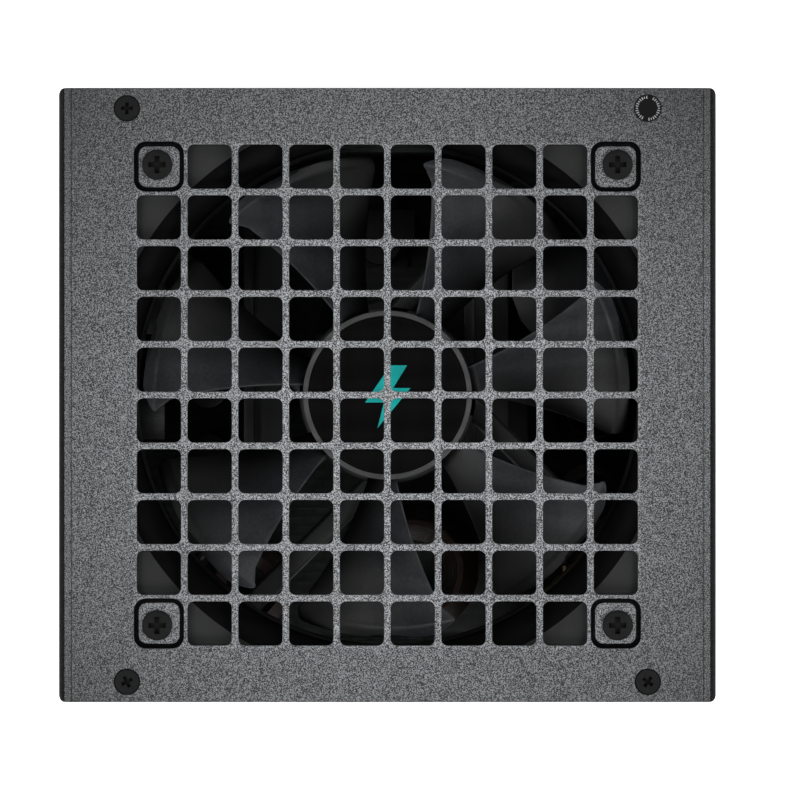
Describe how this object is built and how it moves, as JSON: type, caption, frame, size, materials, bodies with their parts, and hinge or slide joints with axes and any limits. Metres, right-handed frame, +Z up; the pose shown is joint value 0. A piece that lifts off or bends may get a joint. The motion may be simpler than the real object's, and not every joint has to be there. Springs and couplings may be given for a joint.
{
  "type": "power supply unit",
  "caption": "Desktop computer power supply: folded steel case, fan behind a square-hole grille, mains inlet with rocker switch, panel of output sockets.",
  "frame": {"origin": "middle of the underside", "axes": "+Z up out of the fan face, +X along the mains panel's width, mains panel facing -Y, output sockets facing +Y"},
  "size_m": [0.15, 0.14, 0.0861],
  "materials": {
    "coated_steel": "fine textured powder coat, dark grey, satin",
    "black_screw": "black zinc, semi-gloss",
    "frame_plastic": "moulded, matt black",
    "impeller_plastic": "moulded, dark grey, semi-gloss",
    "connector_plastic": "moulded, matt black",
    "label_film": "printed film, semi-gloss black",
    "pin_brass": "plated, bright",
    "bright_steel": "turned, bright",
    "heatsink_aluminium": "extruded, black anodised",
    "ferrite": "sintered, dull dark grey",
    "winding": "copper wire under dark brown enamel, satin",
    "circuit_board": "solder mask, satin, near black",
    "film": "polyester film, dark grey",
    "capacitor_sleeve": "shrink sleeve, dark",
    "box_plastic": "moulded case, yellow",
    "wire_sleeve": "wire insulation, black"
  },
  "bodies": {
    "housing": {"top_cover": "coated_steel", "base_chassis": "coated_steel", "cover_screw_1": "black_screw", "cover_screw_2": "black_screw", "cover_screw_3": "black_screw", "cover_screw_4": "black_screw", "warranty_seal": "label_film", "fan_screw_1": "black_screw", "fan_screw_2": "black_screw", "fan_screw_3": "black_screw", "fan_screw_4": "black_screw", "fan_frame": "frame_plastic", "fan_bearing": "pin_brass", "fan_stator": "winding", "mains_inlet_body": "connector_plastic", "mains_inlet_pin_line": "pin_brass", "mains_inlet_pin_neutral": "pin_brass", "mains_inlet_pin_earth": "pin_brass", "switch_housing": "connector_plastic", "motherboard_socket_18_way": "connector_plastic", "motherboard_socket_10_way": "connector_plastic", "processor_socket_1": "connector_plastic", "processor_socket_2": "connector_plastic", "graphics_socket_1": "connector_plastic", "graphics_socket_2": "connector_plastic", "drive_socket_1": "connector_plastic", "drive_socket_2": "connector_plastic", "drive_socket_3": "connector_plastic", "socket_board": "circuit_board", "insulating_sheet": "film", "main_circuit_board": "circuit_board", "board_screw_1": "bright_steel", "board_screw_2": "bright_steel", "board_screw_3": "bright_steel", "board_screw_4": "bright_steel", "common_mode_choke_1": "winding", "common_mode_choke_2": "winding", "filter_capacitor": "box_plastic", "bridge_rectifier": "connector_plastic", "bulk_capacitor": "capacitor_sleeve", "power_factor_choke": "winding", "primary_heatsink": "heatsink_aluminium", "main_transformer": "ferrite", "standby_transformer": "ferrite", "secondary_heatsink": "heatsink_aluminium", "output_capacitor_1": "capacitor_sleeve", "output_capacitor_2": "capacitor_sleeve", "output_capacitor_3": "capacitor_sleeve", "output_capacitor_4": "capacitor_sleeve", "output_converter_board": "circuit_board", "output_choke": "winding", "line_wire": "wire_sleeve", "neutral_wire": "wire_sleeve", "earth_wire": "wire_sleeve", "fan_lead": "wire_sleeve"},
    "fan_rotor": {"fan_impeller": "impeller_plastic", "fan_magnet_ring": "ferrite", "fan_shaft": "bright_steel", "hub_label": "label_film"},
    "rocker": {"switch_rocker": "connector_plastic"}
  },
  "joints": [
    {"name": "fan_spin", "type": "hinge", "parent": "housing", "child": "fan_rotor", "pos_m": [0, 0, 0.07], "axis": [0, 0, 1], "continuous": true},
    {"name": "switch_throw", "type": "hinge", "parent": "housing", "child": "rocker", "pos_m": [0.0495, -0.0625, 0.0455], "axis": [-1, 0, 0], "range_deg": [0, 18]}
  ]
}
